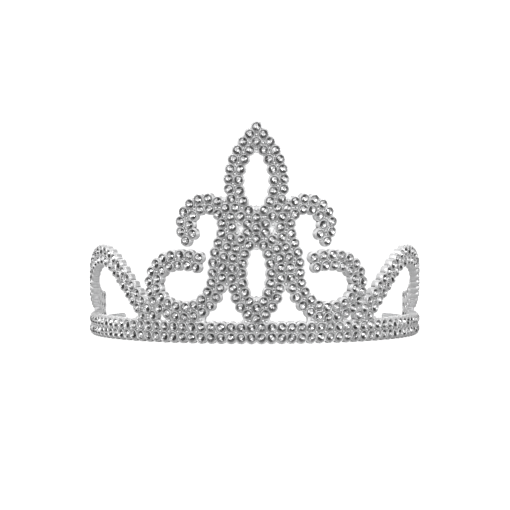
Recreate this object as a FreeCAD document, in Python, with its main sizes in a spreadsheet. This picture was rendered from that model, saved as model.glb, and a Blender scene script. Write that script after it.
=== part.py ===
import FreeCAD, Part
import Sketcher
import math
import os
from collections import namedtuple

from FreeCAD import Placement, Rotation, Vector

# A bridal tiara: a two-row band of round stone settings, standing on the head, with scrolls,
# loops and a pointed oval brazed on its upper edge. Everything lies in one upright round wall.
# The origin is the middle of the wall's circle, at the band's lowest edge. The front is at -Y,
# +X is to the right seen from the front, and +Z is up.

doc = FreeCAD.newDocument("bridal_tiara")

# ---------------------------------------------------------------- driving dimensions
# Millimetres, degrees and counts.
SIZES = [
    ("back_radius", 67.0, "wall circle, back of the castings"),
    ("hollow_start", 66.0, "wall circle, where the bore of each hollow starts"),
    ("hollow_floor", 68.3, "wall circle, end of the hollow behind each stone"),
    ("seat_radius", 69.0, "wall circle, floor of the stone seats"),
    ("shoulder_radius", 69.8, "wall circle, foot of the dish round a seat"),
    ("rim_radius", 70.3, "wall circle, front of the castings"),
    ("flare_radius", 70.4, "wall circle, just past the mouth of the dish round a seat"),
    ("table_radius", 71.0, "wall circle, tables of the stones"),
    ("layout_radius", 70.4, "wall circle on which the strands are laid out"),
    ("stone_pitch", 4.15, "from stone to stone along a row"),
    ("row_gap", 4.05, "from row to row across a strand"),
    ("edge_margin", 2.1, "from the last row's line to the casting's edge"),
    ("dish_radius", 1.65, "mouth of the dish round a seat"),
    ("stone_seat", 1.45, "bore of a seat"),
    ("hollow_radius", 1.4, "bore of the hollow behind a stone"),
    ("stone_girdle", 1.42, "widest radius of a stone"),
    ("stone_table", 0.85, "flat top of a stone"),
    ("girdle_height", 1.1, "upright side of a stone"),
    ("stone_room", 3.4, "least distance between stones of two strands"),
    ("run_into_band", 6.0, "how far the end loops run on before the band trims them"),
    ("tip_height", 89.4, "top of the tiara, where the marquise's point is cut flat"),
    ("band_cups", 62, "stones in each row of the band"),
    ("band_step", 3.3775, "angle from one stone of the band to the next"),
    ("band_low_row", 2.65, "height of the lower row of the band"),
    ("band_height", 9.0, "top edge of the band"),
    ("comb_start", 97.0, "angle from the front at which a side comb starts"),
    ("comb_sweep", 23.0, "angle that a side comb covers"),
    ("comb_thickness", 1.6, "side comb, across its spine"),
    ("comb_low", 4.0, "underside of the spine"),
    ("comb_tall", 2.8, "height of the spine"),
    ("comb_teeth", 9, "teeth of one comb"),
    ("tooth_inset", 2.0, "angle from the spine's end to the middle of the first tooth"),
    ("tooth_width", 1.2, "one tooth, along the spine"),
    ("tooth_reach", 3.6, "one tooth, below the spine"),
    ("tooth_root", 1.0, "how far a tooth reaches up into the spine"),
    ("tooth_clearance", 0.2, "from a tooth to each side of the spine"),
    ("comb_rounding", 1.2, "rounded corners of the spine"),
]

sheet = doc.addObject("Spreadsheet::Sheet", "sizes")
for line, (alias, number, note) in enumerate(SIZES, start=1):
    sheet.set(f"A{line}", alias)
    sheet.set(f"B{line}", str(number))
    sheet.set(f"C{line}", note)
    sheet.setAlias(f"B{line}", alias)
doc.recompute()
size = {alias: float(sheet.get(alias)) for alias, number, note in SIZES}

# ---------------------------------------------------------------- centre-lines of the strands
# Each point is (distance round the wall from the middle of the front, height), for the right
# half. A strand carries two rows of stones, one each side of its centre-line.
S_SCROLL = [
    (24.5, 32.7), (33.5, 33.6), (42.0, 30.7), (45.6, 23.7), (42.4, 16.7), (34.5, 12.9),
    (26.5, 13.1), (20.0, 17.5), (16.2, 25.0), (15.6, 33.5), (12.9, 42.0), (11.9, 48.0),
    (14.6, 53.9), (20.5, 56.4), (26.5, 54.5), (29.9, 48.9), (28.1, 42.8),
]
END_LOOP = [
    (46.7, 9.4), (55.9, 18.2), (65.2, 26.9), (72.0, 31.9), (80.0, 34.3), (88.0, 33.6),
    (96.0, 30.6), (103.5, 25.7), (109.5, 20.6), (115.0, 16.5), (120.5, 13.9), (126.4, 12.9),
]
# These two close on the middle line, so their first and last points are past it.
LOWER_OVAL = [
    (-3.4, 14.6), (0.0, 12.5), (3.4, 14.6), (6.7, 20.2), (8.0, 27.0), (7.6, 33.5),
    (5.8, 39.0), (3.1, 42.6), (0.0, 44.5), (-3.1, 42.6),
]
TOP_MARQUISE = [
    (-4.2, 51.8), (0.0, 48.7), (4.2, 51.8), (7.5, 57.0), (9.2, 63.0), (8.9, 69.0),
    (6.8, 75.2), (3.6, 80.2), (0.0, 84.2), (-3.6, 88.2),
]

Stone = namedtuple("Stone", "node row reach height")


def offset_row(points, offset):
    """The line of one row: the smooth centre-line through the points, moved sideways."""
    curve = Part.BSplineCurve()
    curve.interpolate([Vector(reach, height, 0) for reach, height in points])
    steps = 500
    line = []
    for i in range(steps + 1):
        u = curve.FirstParameter + (curve.LastParameter - curve.FirstParameter) * i / steps
        at = curve.value(u)
        along = curve.tangent(u)[0]
        line.append((at.x + offset * along.y, at.y - offset * along.x))
    return line


def right_half(line):
    """The stretch of a closed strand's line that lies right of the middle."""
    kept = []
    for (x0, z0), (x1, z1) in zip(line, line[1:]):
        if x0 < 0 <= x1 or x1 < 0 <= x0:
            kept.append((0.0, z0 + (z1 - z0) * x0 / (x0 - x1)))
        if x1 >= 0:
            kept.append((x1, z1))
    crossings = [i for i, (x, z) in enumerate(kept) if x == 0.0]
    first, last = max(zip(crossings, crossings[1:]), key=lambda pair: pair[1] - pair[0])
    return kept[first : last + 1]


def length_of(line):
    return sum(math.dist(a, b) for a, b in zip(line, line[1:]))


def divided(line, count):
    """Points that divide a line into so many equal lengths, its two ends included."""
    step = length_of(line) / count
    centres = [line[0]]
    travelled = 0.0
    for a, b in zip(line, line[1:]):
        piece = math.dist(a, b)
        while len(centres) < count and travelled + piece >= step * len(centres):
            part = (step * len(centres) - travelled) / piece
            centres.append((a[0] + part * (b[0] - a[0]), a[1] + part * (b[1] - a[1])))
        travelled += piece
    centres.append(line[-1])
    return centres


def evenly_spaced(line):
    """Stone centres on a line, from end to end, as near to the stone pitch as they come."""
    return divided(line, round(length_of(line) / size["stone_pitch"]))


def apart(a, b):
    return math.hypot(a.reach - b.reach, a.height - b.height)


def lay_out():
    """Every stone of the tiara. One is left out where another strand's is in its place."""
    stones = []

    def add(node, row, centres):
        for reach, height in centres:
            stone = Stone(node, row, reach, height)
            others = (s for s in stones if s.node != node or s.row != row)
            if all(apart(stone, other) >= size["stone_room"] for other in others):
                stones.append(stone)

    def mirrored(centres):
        return [(-reach, height) for reach, height in centres if reach > 0]

    half = int(size["band_cups"]) // 2
    step = math.radians(size["band_step"]) * size["layout_radius"]
    for i, row in enumerate(("lower", "upper")):
        height = size["band_low_row"] + i * size["row_gap"]
        centres = [((k + 0.5) * step, height) for k in range(half)]
        add("base_band", row, centres + mirrored(centres))
    for node, points in (("s_scroll", S_SCROLL), ("end_loop", END_LOOP)):
        for row, side in (("inner", 1), ("outer", -1)):
            centres = evenly_spaced(offset_row(points, side * size["row_gap"] / 2))
            add("right_" + node, row, centres)
            add("left_" + node, row, mirrored(centres))
    for node, points in (("top_marquise", TOP_MARQUISE), ("lower_oval", LOWER_OVAL)):
        for row, side in (("inner", -1), ("outer", 1)):
            line = right_half(offset_row(points, side * size["row_gap"] / 2))
            centres = evenly_spaced(line)
            add(node, row, centres + mirrored(centres))
    return stones


stones = lay_out()

# ---------------------------------------------------------------- shared shapes


def on_wall(shape, place):
    """A copy of a shape made along +X, turned to its place round the wall."""
    angle = math.degrees(place.reach / size["layout_radius"])
    copy = shape.copy()
    copy.Placement = Placement(Vector(0, 0, place.height), Rotation(Vector(0, 0, 1), angle - 90))
    return copy


def turned(profile):
    """A solid of revolution about the X axis, from (distance along X, radius) points."""
    corners = [Vector(x, radius, 0) for x, radius in profile]
    wire = Part.makePolygon(corners + corners[:1])
    return Part.Face(wire).revolve(Vector(0, 0, 0), Vector(1, 0, 0), 360)


cut_stone = turned([
    (size["seat_radius"], 0),
    (size["seat_radius"], size["stone_girdle"]),
    (size["seat_radius"] + size["girdle_height"], size["stone_girdle"]),
    (size["table_radius"], size["stone_table"]),
    (size["table_radius"], 0),
])
# The room that is bored for each stone starts clear of the castings, and its flare runs on a
# little way past the rim.
seat = turned([
    (size["seat_radius"], 0),
    (size["seat_radius"], size["stone_seat"]),
    (size["shoulder_radius"], size["stone_seat"]),
    (size["flare_radius"], size["dish_radius"]),
    (size["flare_radius"], 0),
])
hollow = turned([
    (size["hollow_start"], 0),
    (size["hollow_start"], size["hollow_radius"]),
    (size["hollow_floor"], size["hollow_radius"]),
    (size["hollow_floor"], 0),
])


# Wall circles clear of the castings, for what trims them.
inside_wall = size["back_radius"] - 1
outside_wall = size["rim_radius"] + 1


def wall_point(radius, reach, height):
    angle = reach / size["layout_radius"]
    return Vector(radius * math.sin(angle), -radius * math.cos(angle), height)


def run_on(line, lengths):
    """The line with a straight piece of its own length added at each end."""
    ends = []
    for inner, outer, far in zip((line[1], line[-2]), (line[0], line[-1]), lengths):
        share = far / math.dist(inner, outer)
        ends.append(tuple(o + share * (o - i) for i, o in zip(inner, outer)))
    return [ends[0]] + line + [ends[1]]


def skin_between(sides, low, high):
    """Faces of a strand between two wall circles: front, back and sides, then the two ends."""
    steps_across = 4
    skin, rims = [], []
    for radius in (low, high):
        grid = []
        for a, b in zip(*sides):
            shares = [k / steps_across for k in range(steps_across + 1)]
            between = [(a[0] + t * (b[0] - a[0]), a[1] + t * (b[1] - a[1])) for t in shares]
            grid.append([wall_point(radius, reach, height) for reach, height in between])
        surface = Part.BSplineSurface()
        surface.interpolate(grid)
        u0, u1, v0, v1 = surface.bounds()
        skin.append(surface.toShape())
        rims.append([surface.vIso(v0), surface.vIso(v1), surface.uIso(u0), surface.uIso(u1)])
    for inner, outer in zip(*rims):
        skin.append(Part.makeRuledSurface(inner.toShape(), outer.toShape()))
    return skin[:4], skin[4:]


CENTRE_LINES = {
    "s_scroll": S_SCROLL,
    "end_loop": END_LOOP,
    "top_marquise": TOP_MARQUISE,
    "lower_oval": LOWER_OVAL,
}
CLOSED = ("top_marquise", "lower_oval")
STEPS_ALONG = 60


def strand(kind, low, high, side):
    """The solid of a strand between two wall circles, on the right (1) or on the left (-1)."""
    edge = size["row_gap"] / 2 + size["edge_margin"]
    start = size["run_into_band"] if kind == "end_loop" else size["edge_margin"]
    sides = []
    for offset in (edge, -edge):
        line = offset_row(CENTRE_LINES[kind], offset)
        line = right_half(line) if kind in CLOSED else run_on(line, (start, size["edge_margin"]))
        sides.append([(side * reach, height) for reach, height in divided(line, STEPS_ALONG)])
    skin, ends = skin_between(sides, low, high)
    if kind in CLOSED:
        ends = [face.mirror(Vector(0, 0, 0), Vector(1, 0, 0)) for face in skin]
    whole = Part.makeCompound(skin + ends)
    whole.sewShape()
    solid = Part.makeSolid(whole.Shells[0])
    if solid.Volume < 0:
        solid.reverse()
    return solid


def ring(bottom, top):
    """Everything of the wall between two heights, with the seam at the back of the head."""
    disc = Part.makeCylinder(outside_wall, top - bottom, Vector(0, 0, bottom), Vector(0, 0, 1))
    return disc.rotated(Vector(0, 0, 0), Vector(0, 0, 1), 90)


def seats_near(node):
    """The bores of a casting's own stones, and of its neighbours' stones at its edges."""
    own = [s for s in stones if s.node == node]
    reach_of_a_seat = size["stone_pitch"] + size["dish_radius"]
    chosen = [s for s in stones if any(apart(s, mine) < reach_of_a_seat for mine in own)]
    return [on_wall(tool, stone) for stone in chosen for tool in (seat, hollow)]


def casting(node, kind, over, sides):
    """One casting, trimmed by the strands that pass over it, with its seats bored."""
    low, high = size["back_radius"], size["rim_radius"]
    solid = strand(kind, low, high, sides[0])
    for other in over:
        for side in sides[:1] if other in CLOSED else sides:
            solid = solid.cut(strand(other, inside_wall, outside_wall, side))
    solid = solid.cut(ring(-size["run_into_band"], size["band_height"]))
    solid = solid.cut(ring(size["tip_height"], size["tip_height"] + size["run_into_band"]))
    solid = solid.cut(seats_near(node))
    return max(solid.Solids, key=lambda piece: piece.Volume)


# ---------------------------------------------------------------- sketch helpers
def origin_feature(body, role):
    return next(feature for feature in body.Origin.OriginFeatures if feature.Role == role)


def sketch_on(body, name, role):
    sketch = body.newObject("Sketcher::SketchObject", name)
    sketch.AttachmentSupport = (origin_feature(body, role), "")
    sketch.MapMode = "FlatFace"
    return sketch


def draw_outline(sketch, corners):
    """A closed outline of straight sides. Each corner is a pair of formulas, x and y."""
    points = [[sketch.evalExpression(formula) for formula in corner] for corner in corners]
    ends = [Vector(x, y, 0) for x, y in points]
    sides = [
        sketch.addGeometry(Part.LineSegment(a, b), False) for a, b in zip(ends, ends[1:] + ends[:1])
    ]
    for side, following in zip(sides, sides[1:] + sides[:1]):
        sketch.addConstraint(Sketcher.Constraint("Coincident", side, 2, following, 1))
    for side, point, corner in zip(sides, points, corners):
        for kind, number, formula in zip(("DistanceX", "DistanceY"), point, corner):
            at = sketch.addConstraint(Sketcher.Constraint(kind, -1, 1, side, 1, number))
            if number != 0:
                sketch.setExpression(f"Constraints[{at}]", formula)


# ---------------------------------------------------------------- base band
# A plain strip. One bore for a stone, and the hollow behind it, are repeated up and round.
def make_band_strip():
    body = doc.addObject("PartDesign::Body", "band_strip")
    body.Label = "band_strip"
    up = origin_feature(body, "Z_Axis")

    strip_profile = sketch_on(body, "strip_profile", "YZ_Plane")
    draw_outline(strip_profile, [
        ("-sizes.rim_radius", "0"),
        ("-sizes.back_radius", "0"),
        ("-sizes.back_radius", "sizes.band_height"),
        ("-sizes.rim_radius", "sizes.band_height"),
    ])
    strip = body.newObject("PartDesign::Revolution", "strip")
    strip.Profile = strip_profile
    strip.ReferenceAxis = (strip_profile, ["V_Axis"])
    strip.Midplane = True
    strip.setExpression("Angle", "sizes.band_cups * sizes.band_step")
    doc.recompute()

    bore_profile = sketch_on(body, "bore_profile", "XY_Plane")
    bore_profile.AttachmentOffset = Placement(Vector(0, 0, 1), Rotation(Vector(0, 0, -1), 1))
    bore_profile.setExpression("AttachmentOffset.Base.z", "sizes.band_low_row")
    bore_profile.setExpression(
        "AttachmentOffset.Rotation.Angle", "(sizes.band_cups - 1) / 2 * sizes.band_step"
    )
    draw_outline(bore_profile, [
        ("0", "-sizes.seat_radius"),
        ("sizes.stone_seat", "-sizes.seat_radius"),
        ("sizes.stone_seat", "-sizes.shoulder_radius"),
        ("sizes.dish_radius", "-sizes.flare_radius"),
        ("0", "-sizes.flare_radius"),
    ])
    draw_outline(bore_profile, [
        ("0", "-sizes.hollow_floor"),
        ("sizes.hollow_radius", "-sizes.hollow_floor"),
        ("sizes.hollow_radius", "-sizes.hollow_start"),
        ("0", "-sizes.hollow_start"),
    ])
    bore = body.newObject("PartDesign::Groove", "bore")
    bore.Profile = bore_profile
    bore.ReferenceAxis = (bore_profile, ["V_Axis"])
    bore.Angle = 360
    doc.recompute()

    bores = body.newObject("PartDesign::MultiTransform", "bores")
    bores.Originals = [bore]
    rows = doc.addObject("PartDesign::LinearPattern", "rows")
    round_the_head = doc.addObject("PartDesign::PolarPattern", "round_the_head")
    body.addObject(rows)
    body.addObject(round_the_head)
    rows.Direction = (up, [""])
    rows.Occurrences = 2
    rows.setExpression("Length", "sizes.row_gap")
    round_the_head.Axis = (up, [""])
    round_the_head.setExpression("Occurrences", "sizes.band_cups")
    round_the_head.setExpression("Angle", "(sizes.band_cups - 1) * sizes.band_step")
    bores.Transformations = [rows, round_the_head]
    body.Tip = bores
    doc.recompute()
    return body


def make_base_band():
    """The strip, also bored for the stones of the strands that stand on it."""
    bored = doc.addObject("Part::Feature", "neighbour_seats")
    reach_of_a_seat = size["band_height"] + size["dish_radius"]
    above = [s for s in stones if s.node != "base_band" and s.height < reach_of_a_seat]
    bored.Shape = Part.makeCompound([on_wall(seat, stone) for stone in above])
    band = doc.addObject("Part::Cut", "base_band")
    band.Label = "base_band"
    band.Base = make_band_strip()
    band.Tool = bored
    doc.recompute()
    return band


# ---------------------------------------------------------------- side combs
# A curved spine lies on the inside of the band's end and runs on past it. Its teeth point
# down, into the hair.
def make_comb(label, start):
    body = doc.addObject("PartDesign::Body", label)
    body.Label = label
    up = origin_feature(body, "Z_Axis")
    inner = "-(sizes.back_radius - sizes.comb_thickness)"
    top = "sizes.comb_low + sizes.comb_tall"

    spine_profile = sketch_on(body, "spine_profile", "YZ_Plane")
    spine_profile.AttachmentOffset = Placement(Vector(), Rotation(Vector(0, 1, 0), 1))
    spine_profile.setExpression("AttachmentOffset.Rotation.Angle", start)
    draw_outline(spine_profile, [
        ("-sizes.back_radius", "sizes.comb_low"),
        (inner, "sizes.comb_low"),
        (inner, top),
        ("-sizes.back_radius", top),
    ])
    spine = body.newObject("PartDesign::Revolution", "spine")
    spine.Profile = spine_profile
    spine.ReferenceAxis = (spine_profile, ["V_Axis"])
    spine.setExpression("Angle", "sizes.comb_sweep")
    doc.recompute()
    rounding = body.newObject("PartDesign::Fillet", "rounding")
    rounding.Base = (spine, spine_corners(spine.Shape))
    rounding.setExpression("Radius", "sizes.comb_rounding")
    doc.recompute()

    tooth_profile = sketch_on(body, "tooth_profile", "XY_Plane")
    tooth_profile.AttachmentOffset = Placement(Vector(0, 0, 1), Rotation(Vector(0, 0, 1), 1))
    tooth_profile.setExpression("AttachmentOffset.Base.z", "sizes.comb_low + sizes.tooth_root")
    tooth_profile.setExpression("AttachmentOffset.Rotation.Angle", start + " + sizes.tooth_inset")
    outer_side = "-(sizes.back_radius - sizes.tooth_clearance)"
    inner_side = inner + " - sizes.tooth_clearance"
    draw_outline(tooth_profile, [
        ("-sizes.tooth_width / 2", outer_side),
        ("sizes.tooth_width / 2", outer_side),
        ("sizes.tooth_width / 2", inner_side),
        ("-sizes.tooth_width / 2", inner_side),
    ])
    tooth = body.newObject("PartDesign::Pad", "tooth")
    tooth.Profile = tooth_profile
    tooth.Reversed = True
    tooth.setExpression("Length", "sizes.tooth_reach + sizes.tooth_root")
    doc.recompute()

    teeth = body.newObject("PartDesign::PolarPattern", "teeth")
    teeth.Originals = [tooth]
    teeth.Axis = (up, [""])
    teeth.setExpression("Angle", "sizes.comb_sweep - 2 * sizes.tooth_inset")
    teeth.setExpression("Occurrences", "sizes.comb_teeth")
    body.Tip = teeth
    doc.recompute()
    return body


def spine_corners(shape):
    """The four edges across the spine's thickness, at the corners of its two ends."""
    return [
        f"Edge{i}"
        for i, edge in enumerate(shape.Edges, start=1)
        if abs(edge.Length - size["comb_thickness"]) < 0.01
    ]


# ---------------------------------------------------------------- the document's sub-parts
def add_solid(label, shape):
    feature = doc.addObject("Part::Feature", label)
    feature.Label = label
    feature.Shape = shape
    return feature


def stones_shape(node, row):
    """The stones of one row, as separate solids."""
    chosen = [s for s in stones if s.node == node and s.row == row]
    return Part.makeCompound([on_wall(cut_stone, stone) for stone in chosen])


parts = [make_base_band()]
for row in ("lower", "upper"):
    parts.append(add_solid(f"base_band_{row}_stones", stones_shape("base_band", row)))
for kind, over in (("lower_oval", ("s_scroll", "top_marquise")), ("top_marquise", ("s_scroll",))):
    parts.append(add_solid(kind, casting(kind, kind, over, (1, -1))))
    for row in ("inner", "outer"):
        parts.append(add_solid(f"{kind}_{row}_stones", stones_shape(kind, row)))
for kind, over in (("s_scroll", ()), ("end_loop", ("s_scroll",))):
    for hand, side in (("right_", 1), ("left_", -1)):
        parts.append(add_solid(hand + kind, casting(hand + kind, kind, over, (side,))))
        for row in ("inner", "outer"):
            parts.append(add_solid(f"{hand}{kind}_{row}_stones", stones_shape(hand + kind, row)))
parts.append(make_comb("right_comb", "sizes.comb_start"))
parts.append(make_comb("left_comb", "-(sizes.comb_start + sizes.comb_sweep)"))
doc.recompute()

# ---------------------------------------------------------------- checks and files
for thing in doc.Objects:
    if "Invalid" in thing.State or "Error" in thing.State:
        raise RuntimeError(f"{thing.Label} failed: {thing.State}")
os.makedirs("parts", exist_ok=True)
for part in parts:
    shape = part.Shape
    if shape.isNull() or not shape.isValid() or not shape.Solids:
        raise RuntimeError(f"{part.Label} has no valid solid")
    shape.exportStep(os.path.join("parts", part.Label + ".step"))
    print(f"{part.Label}: {len(shape.Solids)} solids, {shape.Volume:.1f} mm3")
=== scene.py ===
import functools
import math
import random
from collections import Counter, namedtuple

import bmesh
import bpy
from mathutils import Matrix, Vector


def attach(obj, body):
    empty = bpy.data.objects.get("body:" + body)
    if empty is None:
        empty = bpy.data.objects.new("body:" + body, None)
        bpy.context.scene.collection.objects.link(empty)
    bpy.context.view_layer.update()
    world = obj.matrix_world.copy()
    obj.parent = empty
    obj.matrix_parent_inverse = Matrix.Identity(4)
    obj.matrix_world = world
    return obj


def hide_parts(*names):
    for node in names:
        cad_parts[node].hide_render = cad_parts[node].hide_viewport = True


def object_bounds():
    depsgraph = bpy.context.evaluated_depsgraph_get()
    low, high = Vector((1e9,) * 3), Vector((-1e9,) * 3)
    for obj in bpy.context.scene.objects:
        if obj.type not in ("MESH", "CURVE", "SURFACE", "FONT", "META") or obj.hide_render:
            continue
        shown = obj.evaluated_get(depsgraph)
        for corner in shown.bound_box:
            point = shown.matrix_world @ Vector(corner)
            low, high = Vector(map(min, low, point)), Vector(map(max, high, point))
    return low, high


# A bridal tiara on a white table. Its castings and stones are rebuilt in detail where the CAD
# model has them: every stone's place is read from the CAD node that holds it.
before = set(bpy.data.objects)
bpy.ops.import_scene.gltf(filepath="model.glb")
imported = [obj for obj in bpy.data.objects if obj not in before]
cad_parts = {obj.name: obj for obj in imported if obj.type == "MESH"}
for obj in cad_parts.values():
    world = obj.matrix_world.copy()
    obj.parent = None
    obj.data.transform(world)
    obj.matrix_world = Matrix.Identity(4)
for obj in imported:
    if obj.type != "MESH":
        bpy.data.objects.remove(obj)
cad_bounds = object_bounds()

# Lengths are in millimetres until a point is put on the wall.
MM = 0.001
random.seed(7)

# ---------------------------------------------------------------- sizes
LAYOUT = 70.4          # wall circle on which distances round the wall are true
BACK = 67.0            # back of the castings
HOLLOW_FLOOR = 68.3    # end of the hollow behind each stone
SEAT = 69.1            # floor under a stone
CUP_LIP = 2.2          # outer edge of the raised cup round one stone
CUP_EDGE = 2.48        # outer edge of one setting, past the flange round its cup
BAND_EDGE = 2.65       # the same for a setting of the band
WIDEST_GAP = 3.25      # a gap between settings is closed when its middle is this near to them
WEB_REACH = 1.75       # how far the casting in a gap reaches from the gap's middle
LEAST_STEP = 0.01      # a step of a profile nearer than this to the setting's edge is at the edge
SAME_PLACE = 0.0003    # points of a casting nearer than this are one point
BACK_INSET = 0.14      # how far the casting's back edge is drawn in where it has a wall
BACK_REACH = 1.75      # but the back stays at least this wide, from a setting's middle
BEAD_WALL = 70.15      # wall circle of the beads' middles
BEAD_LEAST, BEAD_MOST = 0.34, 0.62    # radius of a bead between settings
BEAD_CLEAR = 1.95      # a bead fills its gap up to this far from the settings' middles
HOLLOW_PAINTED_SHADE = 1.0      # how much painted shade darkens the hollow behind a stone
NOTCH_PAINTED_SHADE = 0.85      # the same painted shade, in the notch between two cups, at the casting's edge

# The front of one setting: (distance from its middle, wall circle).
CUP_PROFILE = [
    (1.10, SEAT), (1.40, SEAT), (1.47, 69.90), (1.60, 69.98), (1.72, 70.14), (1.80, 70.30),
    (1.88, 70.37), (1.96, 70.36), (2.04, 70.26), (2.12, 70.02), (CUP_LIP, 69.64),
]
CUP_SKIRT = [(2.26, 69.62), (2.36, 69.64), (2.43, 69.56), (CUP_EDGE, 69.36)]
BAND_SKIRT = [(2.28, 69.62), (2.45, 69.66), (2.58, 69.58), (BAND_EDGE, 69.30)]
# The hollow behind it, from its mouth to its floor, in the same way.
HOLLOW_PROFILE = [
    (1.52, BACK), (1.42, BACK + 0.12), (1.34, HOLLOW_FLOOR - 0.1), (1.15, HOLLOW_FLOOR),
]

Setting = namedtuple("Setting", "casting row reach height")
ROWS = {
    "base_band": ("lower", "upper"),
    "lower_oval": ("inner", "outer"),
    "top_marquise": ("inner", "outer"),
    "right_s_scroll": ("inner", "outer"),
    "left_s_scroll": ("inner", "outer"),
    "right_end_loop": ("inner", "outer"),
    "left_end_loop": ("inner", "outer"),
}
ON_THE_BAND = "base_band"
highest = cad_bounds[1].z / MM


# ---------------------------------------------------------------- places of the stones
def loose_solids(node):
    """The corner points of each separate solid of a CAD node, in millimetres."""
    work = bmesh.new()
    work.from_mesh(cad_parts[node].data)
    bmesh.ops.remove_doubles(work, verts=work.verts, dist=0.005 * MM)
    solids = []
    for first in work.verts:
        if first.tag:
            continue
        first.tag = True
        points, waiting = [], [first]
        while waiting:
            corner = waiting.pop()
            points.append(corner.co / MM)
            for edge in corner.link_edges:
                other = edge.other_vert(corner)
                if not other.tag:
                    other.tag = True
                    waiting.append(other)
        solids.append(points)
    work.free()
    return solids


def middle(values):
    return (min(values) + max(values)) / 2


def settings_of(casting, row):
    found = []
    for points in loose_solids(f"{casting}_{row}_stones"):
        reach = middle([math.atan2(p.x, -p.y) for p in points]) * LAYOUT
        found.append(Setting(casting, row, reach, middle([p.z for p in points])))
    return sorted(found)


settings = [s for casting, rows in ROWS.items() for row in rows for s in settings_of(casting, row)]


def apart(a, b):
    return math.hypot(a.reach - b.reach, a.height - b.height)


def on_wall(radius, reach, height):
    """The point on a wall circle, in metres."""
    angle = reach / LAYOUT
    return Vector((radius * math.sin(angle), -radius * math.cos(angle), height)) * MM


# ---------------------------------------------------------------- cells
# The wall is shared out among the settings: each has all that is nearer to it than to any other.
def cut_back(outline, toward, beyond):
    """A convex outline of (corner, what lies beyond the side that starts there), cut halfway."""
    limit = toward.length_squared / 2
    kept = []
    for (a, tag), (b, _) in zip(outline, outline[1:] + outline[:1]):
        past_a, past_b = a.dot(toward) - limit, b.dot(toward) - limit
        if past_a <= 0:
            kept.append((a, tag))
        if (past_a <= 0) != (past_b <= 0):
            crossing = a.lerp(b, past_a / (past_a - past_b))
            kept.append((crossing, beyond if past_a <= 0 else tag))
    return kept


@functools.cache
def cell_of(setting):
    far = 2 * WIDEST_GAP
    outline = [(Vector(c), None) for c in ((-far, -far), (far, -far), (far, far), (-far, far))]
    for other in settings:
        if other is not setting and apart(setting, other) < 2 * far:
            toward = Vector((other.reach - setting.reach, other.height - setting.height))
            outline = cut_back(outline, toward, other)
    return outline


def edge_of(setting):
    return BAND_EDGE if setting.casting == ON_THE_BAND else CUP_EDGE


def closed(corner):
    return corner.length <= WIDEST_GAP


def solid_stretch(a, b, edge):
    """The part of a cell's side that has metal, as two shares of its length, or None."""
    length = (b - a).length
    along = (b - a) / length
    foot = -a.dot(along)
    half = (a + along * foot).length
    low, high = length, 0.0
    if half < edge:
        half_chord = math.sqrt(edge * edge - half * half)
        low, high = foot - half_chord, foot + half_chord
    if closed(a):
        low, high = 0.0, max(high, WEB_REACH)
    if closed(b):
        low, high = min(low, length - WEB_REACH), length
    low, high = max(low, 0.0), min(high, length)
    return (low / length, high / length) if high - low > 0.001 else None


def web_distance(direction, corners):
    """How far out in a direction the casting in the closed gaps reaches."""
    far = 0.0
    for corner in corners:
        if closed(corner):
            along = corner.dot(direction)
            across = abs(corner.x * direction.y - corner.y * direction.x)
            if along > 0 and across < WEB_REACH:
                far = max(far, along + math.sqrt(WEB_REACH ** 2 - across ** 2))
    return far


def side_distance(direction, outline):
    """How far out in a direction the cell's own side is."""
    nearest = 1e9
    for (a, _), (b, _) in zip(outline, outline[1:] + outline[:1]):
        normal = Vector((b.y - a.y, a.x - b.x))
        facing = normal.dot(direction)
        if facing > 1e-9:
            nearest = min(nearest, normal.dot(a) / facing)
    return nearest


def rim_of(setting):
    """The edge of a setting's share of the casting, as (point, wall after it) all the way round.

    A wall stands where the casting ends or another casting begins.
    """
    side_step, arc_step = 0.42, math.radians(11)
    outline = cell_of(setting)
    edge = edge_of(setting)
    corners = [corner for corner, _ in outline]
    rim = []
    for (a, beyond), (b, _) in zip(outline, outline[1:] + outline[:1]):
        if beyond is None or (b - a).length < 1e-4:
            continue
        stretch = solid_stretch(a, b, edge)
        if stretch is None:
            continue
        start, end = a.lerp(b, stretch[0]), a.lerp(b, stretch[1])
        pieces = max(1, math.ceil(round((end - start).length / side_step, 5)))
        wall = beyond.casting != setting.casting
        rim += [[start.lerp(end, k / pieces), wall] for k in range(pieces + 1)]
    if not rim:
        count = round(2 * math.pi / arc_step)
        turns = [2 * math.pi * k / count for k in range(count)]
        return [(Vector((math.cos(t), math.sin(t))) * edge, True) for t in turns]
    full = []
    for (p, wall), (q, _) in zip(rim, rim[1:] + rim[:1]):
        turn = (math.atan2(q.y, q.x) - math.atan2(p.y, p.x)) % (2 * math.pi)
        if (p - q).length < 1e-4:
            continue
        if (p - q).length <= side_step + 1e-3 and turn < math.pi:
            full.append((p, wall))
            continue
        full.append((p, True))
        pieces = max(1, math.ceil(turn / arc_step))
        for k in range(1, pieces):
            angle = math.atan2(p.y, p.x) + turn * k / pieces
            direction = Vector((math.cos(angle), math.sin(angle)))
            reach = max(edge, web_distance(direction, corners))
            full.append((direction * min(reach, side_distance(direction, outline)), True))
    return [(Vector((p.x, min(p.y, highest - setting.height))), wall) for p, wall in full]


# ---------------------------------------------------------------- castings
def level(profile, distance):
    """The wall circle of a profile at a distance from the setting's middle."""
    for (d0, r0), (d1, r1) in zip(profile, profile[1:]):
        if distance <= d1:
            share = max(0.0, (distance - d0) / (d1 - d0))
            return r0 + share * (r1 - r0)
    return profile[-1][1]


def column(point, profile, walled):
    """One radius of a setting, from the middle of its front round its edge to its back.

    Every entry is (distance from the middle, wall circle).
    """
    far = point.length
    steps = [far if d > far - LEAST_STEP else d for d, _ in profile]
    front = [(d, level(profile, d)) for d in steps]
    front.append((far, level(profile, far)))
    inset = min(BACK_INSET, far - BACK_REACH) if walled else 0.0
    side = [(far, BACK + inset), (far - inset, BACK)]
    return front, side + HOLLOW_PROFILE


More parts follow.
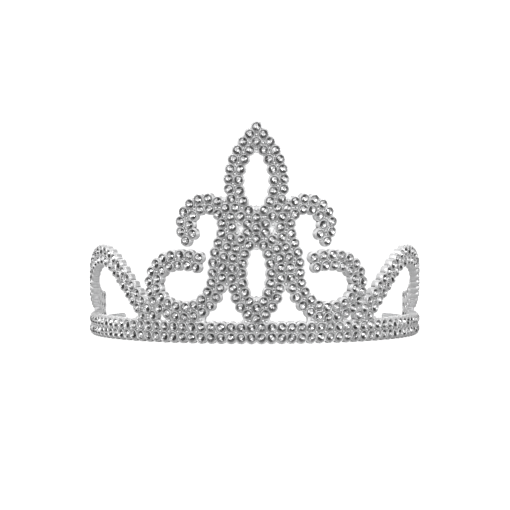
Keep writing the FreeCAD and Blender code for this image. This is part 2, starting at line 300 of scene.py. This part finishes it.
class Skin:
    """Points and faces of one mesh. Points in the same place are one point."""

    def __init__(self):
        self.points = []
        self.faces = []
        self.known = {}
        # hollows and edges mark the points that get painted shade: the hollows, and where two
        # settings' outer edges meet
        self.hollows = set()
        self.edges = Counter()

    def point(self, radius, reach, height):
        key = (round(radius, 3), round(reach, 3), round(height, 3))
        if key not in self.known:
            self.known[key] = len(self.points)
            self.points.append(on_wall(radius, reach, height))
        return self.known[key]

    def face(self, corners):
        different = [c for c, after in zip(corners, corners[1:] + corners[:1]) if c != after]
        if len(set(different)) == len(different) >= 3:
            self.faces.append(different)


def add_setting(skin, setting):
    profile = CUP_PROFILE + (BAND_SKIRT if setting.casting == ON_THE_BAND else CUP_SKIRT)
    rim = rim_of(setting)
    columns, outer_edges = [], set()
    for i, (point, wall) in enumerate(rim):
        wall_before = rim[i - 1][1]
        front, rear = column(point, profile, wall and wall_before)
        direction = point.normalized()

        def put(entries):
            return [
                skin.point(r, setting.reach + direction.x * d, setting.height + direction.y * d)
                for d, r in entries
            ]

        columns.append((put(front), put(rear), wall))
        if wall or wall_before:
            outer_edges |= {columns[-1][0][-1], columns[-1][1][0]}
    front_middle = skin.point(SEAT, setting.reach, setting.height)
    back_middle = skin.point(HOLLOW_FLOOR, setting.reach, setting.height)
    skin.hollows.add(back_middle)
    for _, rear_points, _ in columns:
        skin.hollows.update(rear_points[-2:])
    skin.edges.update(outer_edges)
    for (front_a, rear_a, wall), (front_b, rear_b, _) in zip(columns, columns[1:] + columns[:1]):
        skin.face([front_middle, front_a[0], front_b[0]])
        for k in range(len(front_a) - 1):
            skin.face([front_a[k], front_a[k + 1], front_b[k + 1], front_b[k]])
        if wall:
            skin.face([front_a[-1], rear_a[0], rear_b[0], front_b[-1]])
        for k in range(len(rear_a) - 1):
            skin.face([rear_a[k], rear_a[k + 1], rear_b[k + 1], rear_b[k]])
        skin.face([rear_a[-1], back_middle, rear_b[-1]])


def gap_middles():
    """The middle of every closed gap, with the casting of the first setting found round it."""
    found = []
    for setting in settings:
        for corner, _ in cell_of(setting):
            if closed(corner):
                place = (setting.reach + corner.x, setting.height + corner.y)
                if all(math.dist(place, other[:2]) > 0.9 for other in found):
                    found.append((*place, corner.length, setting.casting))
    return found


def add_bead(work, reach, height, radius, top):
    """A round bead that stands out of the casting to that wall circle."""
    ball = bmesh.ops.create_icosphere(work, subdivisions=2, radius=radius * MM)
    centre = on_wall(top - radius, reach, height)
    for vert in ball["verts"]:
        vert.co += centre


def finished(work, name, sharp_angle):
    """A mesh object from a bmesh, smooth except at its sharp edges."""
    bmesh.ops.recalc_face_normals(work, faces=work.faces)
    for face in work.faces:
        face.smooth = True
    for edge in work.edges:
        edge.smooth = len(edge.link_faces) == 2 and edge.calc_face_angle() < sharp_angle
    mesh = bpy.data.meshes.new(name)
    work.to_mesh(mesh)
    work.free()
    piece = bpy.data.objects.new(name, mesh)
    bpy.context.scene.collection.objects.link(piece)
    return piece


def make_casting(casting, gaps):
    skin = Skin()
    for setting in settings:
        if setting.casting == casting:
            add_setting(skin, setting)
    work = bmesh.new()
    # Painted shade: points of the hollow behind each stone, and of the notches where two cups meet
    # at the edge, are painted almost black.
    painted_shade = work.verts.layers.float.new("painted_shade")
    corners = [work.verts.new(point) for point in skin.points]
    for i, corner in enumerate(corners):
        if i in skin.hollows:
            corner[painted_shade] = HOLLOW_PAINTED_SHADE
        elif skin.edges[i] > 1:
            corner[painted_shade] = NOTCH_PAINTED_SHADE
    for face in skin.faces:
        work.faces.new([corners[i] for i in face])
    bmesh.ops.remove_doubles(work, verts=corners, dist=SAME_PLACE * MM)
    for reach, height, gap, owner in gaps:
        if owner == casting:
            radius = min(BEAD_MOST, max(BEAD_LEAST, gap - BEAD_CLEAR))
            add_bead(work, reach, height, radius, BEAD_WALL)
    return finished(work, casting + "_casting", math.radians(40))


# ---------------------------------------------------------------- stones
def add_stone(work, setting, painted_reflection_tones):
    """A round brilliant: table, star, kite and girdle facets, turned and tipped at random."""
    girdle, table, waist = 1.42, 0.78, 1.14
    girdle_low, girdle_high, waist_high, table_high = 69.15, 70.15, 70.62, 70.88
    turn = random.uniform(0, math.pi / 4)
    tip = random.uniform(0, 0.06)
    tip_turn = random.uniform(0, 2 * math.pi)
    # Painted reflection: facets facing the turn of this painted shadow, or the second turn, are
    # painted dark; the others get random bright tones.
    shadow = random.gauss(-math.pi / 2, 0.7)
    second = shadow + random.uniform(0.6, 1.2) * math.pi
    angle = setting.reach / LAYOUT
    out = Vector((math.sin(angle), -math.cos(angle), 0))
    across = Vector((math.cos(angle), math.sin(angle), 0))
    up = Vector((0, 0, 1))

    def corner(distance, at, high):
        x, y = distance * math.cos(at), distance * math.sin(at)
        lift = tip * (x * math.cos(tip_turn) + y * math.sin(tip_turn)) - tip * table
        place = out * (high + lift) + across * x + up * (setting.height + y)
        return work.verts.new(place * MM)

    eighth = math.pi / 4
    tables = [corner(table, turn + k * eighth, table_high) for k in range(8)]
    waists = [corner(waist, turn + (k + 0.5) * eighth, waist_high) for k in range(8)]
    girdles = [corner(girdle, turn + k * eighth / 2, girdle_high) for k in range(16)]
    lows = [corner(girdle, turn + k * eighth / 2, girdle_low) for k in range(16)]
    culet = corner(0.0, 0.0, table_high - 0.10)

    def shaded(at, place, width):
        return math.cos(at - place) > math.cos(width)

    def facet(corners, at, light):
        """A facet with a painted reflection: dark near the shadow's turns, else a random tone."""
        face = work.faces.new(corners)
        dark = shaded(at, shadow, 1.1) or shaded(at, second, 0.6)
        face[painted_reflection_tones] = random.uniform(0.0, 0.3) if dark else random.uniform(light, 1.0)

    for k in range(8):
        at = turn + (k + 0.5) * eighth
        face = work.faces.new([culet, tables[k], tables[(k + 1) % 8]])
        dark = shaded(at, shadow, 0.5)
        face[painted_reflection_tones] = random.uniform(0.1, 0.5) if dark else random.uniform(0.6, 1)
        facet([tables[k], waists[k], tables[(k + 1) % 8]], at, 0.5)
        facet([tables[k], waists[k - 1], girdles[2 * k], waists[k]], turn + k * eighth, 0.4)
        facet([waists[k], girdles[2 * k], girdles[2 * k + 1]], at, 0.3)
        facet([waists[k], girdles[2 * k + 1], girdles[(2 * k + 2) % 16]], at, 0.3)
    # Painted shade: the girdle's sides and the back are painted mid-dark, a painted ring of shade
    # round each stone.
    for k in range(16):
        side = work.faces.new([girdles[k], lows[k], lows[(k + 1) % 16], girdles[(k + 1) % 16]])
        side[painted_reflection_tones] = 0.4
    work.faces.new(lows)[painted_reflection_tones] = 0.4


def make_stones(casting, row):
    work = bmesh.new()
    painted_reflection_tones = work.faces.layers.float.new("painted_reflection_tone")
    for setting in settings:
        if setting.casting == casting and setting.row == row:
            add_stone(work, setting, painted_reflection_tones)
    bmesh.ops.recalc_face_normals(work, faces=work.faces)
    name = f"{casting}_{row}_crystals"
    mesh = bpy.data.meshes.new(name)
    work.to_mesh(mesh)
    work.free()
    piece = bpy.data.objects.new(name, mesh)
    bpy.context.scene.collection.objects.link(piece)
    return piece


# ---------------------------------------------------------------- side combs
SPINE_TALL = 2.8
SPINE_THICK = 1.6
SPINE_END = 1.3        # length over which each end of the spine is rounded off
TEETH = 9
TOOTH_INSET = math.radians(2)


def add_loft(work, rings):
    """A closed skin through rings of points, each ring with as many points as the others."""
    loops = [[work.verts.new(point) for point in ring] for ring in rings]
    for low, high in zip(loops, loops[1:]):
        for a, b, c, d in zip(low, low[1:] + low[:1], high[1:] + high[:1], high):
            work.faces.new([a, b, c, d])
    work.faces.new(loops[0])
    work.faces.new(loops[-1])


def rounded(share, squareness=0.7):
    """The point of a soft rectangle, 1 across each way, at that share of the way round it."""
    cosine, sine = math.cos(2 * math.pi * share), math.sin(2 * math.pi * share)
    return (
        math.copysign(abs(cosine) ** squareness, cosine) / 2,
        math.copysign(abs(sine) ** squareness, sine) / 2,
    )


def make_comb(node):
    """A spine with round edges and ends, on the inside of the band, and its tapered teeth."""
    places = [corner.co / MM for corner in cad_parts[node].data.vertices]
    turns = [math.atan2(place.x, -place.y) for place in places]
    start, end = min(turns), max(turns)
    low, high = min(p.z for p in places), max(p.z for p in places)
    circle = BACK - SPINE_THICK / 2
    length = (end - start) * circle
    middle_height = high - SPINE_TALL / 2
    work = bmesh.new()

    def ring(turn, height, wide, tall, level_ring):
        """A section of the comb: upright for the spine, level for a tooth."""
        points = []
        for k in range(16):
            x, y = rounded(k / 16)
            if level_ring:
                along = (turn + x * wide / circle) * LAYOUT
                points.append(on_wall(circle + y * tall, along, height))
            else:
                points.append(on_wall(circle + x * wide, turn * LAYOUT, height + y * tall))
        return points

    spine = []
    pieces = 60
    for k in range(pieces + 1):
        along = length * (1 - math.cos(math.pi * k / pieces)) / 2
        to_end = min(along, length - along, SPINE_END)
        share = max(0.08, math.sqrt(1 - (1 - to_end / SPINE_END) ** 2))
        size = (SPINE_THICK * (0.5 + share / 2), SPINE_TALL * share)
        spine.append(ring(start + along / circle, middle_height, *size, False))
    add_loft(work, spine)
    for k in range(TEETH):
        turn = start + TOOTH_INSET + (end - start - 2 * TOOTH_INSET) * k / (TEETH - 1)
        tooth = []
        for level_share in (0.0, 0.2, 0.4, 0.6, 0.8, 0.92, 0.98, 1.0):
            height = middle_height + (low - middle_height) * level_share
            taper = 1.15 - 0.6 * level_share
            if level_share > 0.9:
                taper *= math.sqrt(1 - ((level_share - 0.9) / 0.101) ** 2)
            tooth.append(ring(turn, height, 1.2 * taper, 1.1 * taper, True))
        add_loft(work, tooth)
    return finished(work, node + "_moulded", math.radians(50))


# ---------------------------------------------------------------- materials
def new_material(name):
    material = bpy.data.materials.new(name)
    material.use_nodes = True
    nodes = material.node_tree.nodes
    return material, nodes, material.node_tree.links, nodes["Principled BSDF"]


def noise(nodes, links, scale, detail=4.0):
    """Even noise in the object's own space, with the scale in waves per metre."""
    place = nodes.new("ShaderNodeTexCoord")
    texture = nodes.new("ShaderNodeTexNoise")
    texture.inputs["Scale"].default_value = scale
    texture.inputs["Detail"].default_value = detail
    links.new(place.outputs["Object"], texture.inputs["Vector"])
    return texture.outputs["Fac"]


def spread(nodes, links, source, low, high):
    """The source's 0 to 1 turned into low to high."""
    scaled = nodes.new("ShaderNodeMapRange")
    scaled.inputs["To Min"].default_value = low
    scaled.inputs["To Max"].default_value = high
    links.new(source, scaled.inputs["Value"])
    return scaled.outputs["Result"]


def ramp(nodes, links, source, stops):
    colours = nodes.new("ShaderNodeValToRGB")
    elements = colours.color_ramp.elements
    while len(elements) < len(stops):
        elements.new(0.5)
    for element, (position, colour) in zip(elements, stops):
        element.position = position
        element.color = (*colour, 1)
    links.new(source, colours.inputs["Fac"])
    return colours.outputs["Color"]


def bump(nodes, links, shader, source, strength, distance):
    relief = nodes.new("ShaderNodeBump")
    relief.inputs["Strength"].default_value = strength
    relief.inputs["Distance"].default_value = distance
    links.new(source, relief.inputs["Height"])
    links.new(relief.outputs["Normal"], shader.inputs["Normal"])


def plated_metal():
    """Silver plate with a faint grain, with painted shade in corners and where the mesh marks it.
    """
    material, nodes, links, shader = new_material("silver_plate")
    shader.inputs["Metallic"].default_value = 1.0
    # Painted shade: ambient occlusion darkens the base colour in corners and recesses, down to
    # near black.
    corners = nodes.new("ShaderNodeAmbientOcclusion")
    corners.inputs["Distance"].default_value = 1.0 * MM
    corners.samples = 6
    painted_corner_shade_stops = [(0.05, (0.1, 0.1, 0.1)), (0.6, (0.84, 0.84, 0.845))]
    painted_corner_shade = ramp(nodes, links, corners.outputs["AO"], painted_corner_shade_stops)
    # Painted shade: the mesh's weight mixes the base colour towards near black in the hollows and
    # notches.
    places = nodes.new("ShaderNodeAttribute")
    places.attribute_name = "painted_shade"
    painted_hollow_shade = nodes.new("ShaderNodeMix")
    painted_hollow_shade.data_type = "RGBA"
    painted_hollow_shade.inputs["B"].default_value = (0.03, 0.03, 0.032, 1)
    links.new(places.outputs["Fac"], painted_hollow_shade.inputs["Factor"])
    links.new(painted_corner_shade, painted_hollow_shade.inputs["A"])
    links.new(painted_hollow_shade.outputs["Result"], shader.inputs["Base Color"])
    grain = noise(nodes, links, 900.0)
    links.new(spread(nodes, links, grain, 0.32, 0.46), shader.inputs["Roughness"])
    bump(nodes, links, shader, noise(nodes, links, 2600.0), 0.25, 0.02 * MM)
    return material


def crystal():
    """Foil-backed cut crystal, each facet painted with its own dark or bright reflection."""
    material, nodes, links, shader = new_material("foiled_crystal")
    shader.inputs["Metallic"].default_value = 0.9
    shader.inputs["Coat Weight"].default_value = 1.0
    shader.inputs["Coat Roughness"].default_value = 0.02
    # Painted reflection: each facet's base colour comes from its painted tone, from near black to
    # white.
    facet = nodes.new("ShaderNodeAttribute")
    facet.attribute_name = "painted_reflection_tone"
    stops = [
        (0.0, (0.012, 0.012, 0.013)), (0.3, (0.1, 0.1, 0.1)), (0.42, (0.42, 0.42, 0.425)),
        (0.8, (0.85, 0.85, 0.86)), (1.0, (1.0, 1.0, 1.0)),
    ]
    links.new(ramp(nodes, links, facet.outputs["Fac"], stops), shader.inputs["Base Color"])
    haze = noise(nodes, links, 700.0)
    links.new(spread(nodes, links, haze, 0.04, 0.16), shader.inputs["Roughness"])
    bump(nodes, links, shader, noise(nodes, links, 1500.0), 0.08, 0.01 * MM)
    return material


def clear_plastic():
    """Clear comb plastic, a little milky, with the ripple of the mould."""
    material, nodes, links, shader = new_material("clear_comb_plastic")
    shader.inputs["Transmission Weight"].default_value = 0.55
    shader.inputs["IOR"].default_value = 1.46
    haze = noise(nodes, links, 260.0)
    cloudy = ramp(nodes, links, haze, [(0.3, (0.86, 0.87, 0.88)), (0.7, (0.94, 0.945, 0.95))])
    links.new(cloudy, shader.inputs["Base Color"])
    links.new(spread(nodes, links, haze, 0.1, 0.25), shader.inputs["Roughness"])
    bump(nodes, links, shader, noise(nodes, links, 420.0), 0.15, 0.05 * MM)
    return material


def paint(piece, material):
    piece.data.materials.clear()
    piece.data.materials.append(material)


# ---------------------------------------------------------------- the tiara
silver, glass, plastic = plated_metal(), crystal(), clear_plastic()
gaps = gap_middles()
for casting, rows in ROWS.items():
    piece = make_casting(casting, gaps)
    paint(piece, silver)
    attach(piece, "root")
    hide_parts(casting)
    for row in rows:
        stones = make_stones(casting, row)
        paint(stones, glass)
        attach(stones, "root")
        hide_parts(f"{casting}_{row}_stones")
for node in ("right_comb", "left_comb"):
    comb = make_comb(node)
    paint(comb, plastic)
    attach(comb, "root")
    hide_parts(node)


# ---------------------------------------------------------------- table, light and camera
def make_table():
    """A white table top with a soft glow, like a light table for catalogue pictures."""
    half = 3.0
    lowest = cad_bounds[0].z - 0.02 * MM
    mesh = bpy.data.meshes.new("table_top")
    corners = [
        (-half, -half, lowest), (half, -half, lowest),
        (half, half, lowest), (-half, half, lowest),
    ]
    mesh.from_pydata(corners, [], [(0, 1, 2, 3)])
    table = bpy.data.objects.new("table_top", mesh)
    bpy.context.scene.collection.objects.link(table)
    material, nodes, links, shader = new_material("white_table")
    shader.inputs["Base Color"].default_value = (0.2, 0.2, 0.2, 1)
    shader.inputs["Roughness"].default_value = 0.9
    shader.inputs["Emission Color"].default_value = (1, 1, 1, 1)
    sight = nodes.new("ShaderNodeLightPath")
    glow = spread(nodes, links, sight.outputs["Is Camera Ray"], 0.26, 0.95)
    links.new(glow, shader.inputs["Emission Strength"])
    paint(table, material)


def make_sky():
    """Light and dark zones by height, side and depth, so that the metal has something to show."""
    world = bpy.data.worlds.new("white_room")
    bpy.context.scene.world = world
    world.use_nodes = True
    nodes, links = world.node_tree.nodes, world.node_tree.links
    place = nodes.new("ShaderNodeTexCoord")
    split = nodes.new("ShaderNodeSeparateXYZ")
    links.new(place.outputs["Generated"], split.inputs["Vector"])
    by_height = [
        (0.0, (1.0, 1.0, 1.0)), (0.24, (1.0, 1.0, 1.0)), (0.36, (0.14, 0.14, 0.14)),
        (0.6, (0.14, 0.14, 0.14)), (0.75, (0.4, 0.4, 0.4)), (1.0, (0.3, 0.3, 0.3)),
    ]
    by_depth = [(0.0, (1.0, 1.0, 1.0)), (0.9, (0.6, 0.6, 0.6))]
    by_side = [
        (0.0, (0.6, 0.6, 0.6)), (0.3, (0.6, 0.6, 0.6)), (0.4, (0.0, 0.0, 0.0)),
        (0.66, (0.0, 0.0, 0.0)), (0.76, (0.42, 0.42, 0.42)),
    ]
    window = nodes.new("ShaderNodeMix")
    window.data_type = "RGBA"
    window.blend_type = "LIGHTEN"
    window.inputs["Factor"].default_value = 1.0
    links.new(ramp(nodes, links, split.outputs["Z"], by_height), window.inputs["A"])
    links.new(ramp(nodes, links, split.outputs["X"], by_side), window.inputs["B"])
    room = nodes.new("ShaderNodeMix")
    room.data_type = "RGBA"
    room.blend_type = "MULTIPLY"
    room.inputs["Factor"].default_value = 1.0
    links.new(window.outputs["Result"], room.inputs["A"])
    links.new(ramp(nodes, links, split.outputs["Y"], by_depth), room.inputs["B"])
    sight = nodes.new("ShaderNodeLightPath")
    seen = nodes.new("ShaderNodeMix")
    seen.data_type = "RGBA"
    seen.inputs["B"].default_value = (1, 1, 1, 1)
    links.new(sight.outputs["Is Camera Ray"], seen.inputs["Factor"])
    links.new(room.outputs["Result"], seen.inputs["A"])
    links.new(seen.outputs["Result"], nodes["Background"].inputs["Color"])
    nodes["Background"].inputs["Strength"].default_value = 1.5


def make_light(name, place, target, size, power):
    data = bpy.data.lights.new(name, "AREA")
    data.shape = "RECTANGLE"
    data.size, data.size_y = size
    data.energy = power
    light = bpy.data.objects.new(name, data)
    bpy.context.scene.collection.objects.link(light)
    light.location = place
    light.rotation_euler = (Vector(target) - Vector(place)).to_track_quat("-Z", "Y").to_euler()


def make_camera():
    """Straight on from the front, at the height of the lower oval, with a long lens."""
    data = bpy.data.cameras.new("camera")
    data.sensor_width = 36.0
    data.lens = 161.5
    camera = bpy.data.objects.new("camera", data)
    bpy.context.scene.collection.objects.link(camera)
    aim = Vector((-0.6, -71.0, 35.9)) * MM
    distance, aside, above = 914.4 * MM, math.radians(0.6), math.radians(1.9)
    away = Vector((-math.sin(aside), -math.cos(aside), math.tan(above))).normalized()
    camera.location = aim + away * distance
    camera.rotation_euler = (-away).to_track_quat("-Z", "Y").to_euler()
    bpy.context.scene.camera = camera


make_table()
make_sky()
centre = (cad_bounds[0] + cad_bounds[1]) / 2
make_light("key", (-0.5, -0.8, 0.7), centre, (0.35, 0.5), 3.0)
make_light("fill", (0.6, -0.7, 0.35), centre, (0.4, 0.4), 2.0)
make_light("back", (0.1, 0.7, 0.8), centre, (0.6, 0.3), 0.8)
make_camera()
bpy.context.scene.view_settings.view_transform = "Standard"
